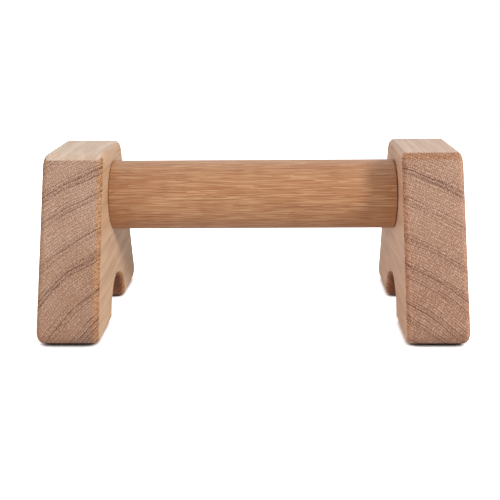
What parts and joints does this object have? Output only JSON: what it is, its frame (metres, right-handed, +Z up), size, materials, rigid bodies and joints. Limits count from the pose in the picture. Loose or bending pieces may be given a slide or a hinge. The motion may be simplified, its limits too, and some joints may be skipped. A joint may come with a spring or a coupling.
{
  "type": "push-up bar",
  "caption": "Low wooden push-up bar: a round grip held between two trapezoid end blocks, each arched underneath into two feet.",
  "frame": {"origin": "on the floor, straight below the middle of the grip bar", "axes": "+X along the grip bar, +Y from front to back, +Z up"},
  "size_m": [0.23, 0.124, 0.099],
  "materials": {
    "block_wood": "fine-sanded, open-pored, end grain on the front and back",
    "bar_wood": "fine-sanded, straight grain along the bar",
    "zinc_plated_steel": "zinc plated, satin",
    "insert_brass": "machined",
    "pin_wood": "plain turned",
    "foot_rubber": "matt, finely textured"
  },
  "bodies": {
    "root": {"left_end_block": "block_wood", "right_end_block": "block_wood", "grip_bar": "bar_wood", "left_bolt": "zinc_plated_steel", "right_bolt": "zinc_plated_steel", "left_washer": "zinc_plated_steel", "right_washer": "zinc_plated_steel", "left_threaded_insert": "insert_brass", "right_threaded_insert": "insert_brass", "left_locking_pin": "pin_wood", "right_locking_pin": "pin_wood", "left_front_rubber_foot": "foot_rubber", "left_back_rubber_foot": "foot_rubber", "right_front_rubber_foot": "foot_rubber", "right_back_rubber_foot": "foot_rubber"}
  },
  "joints": []
}
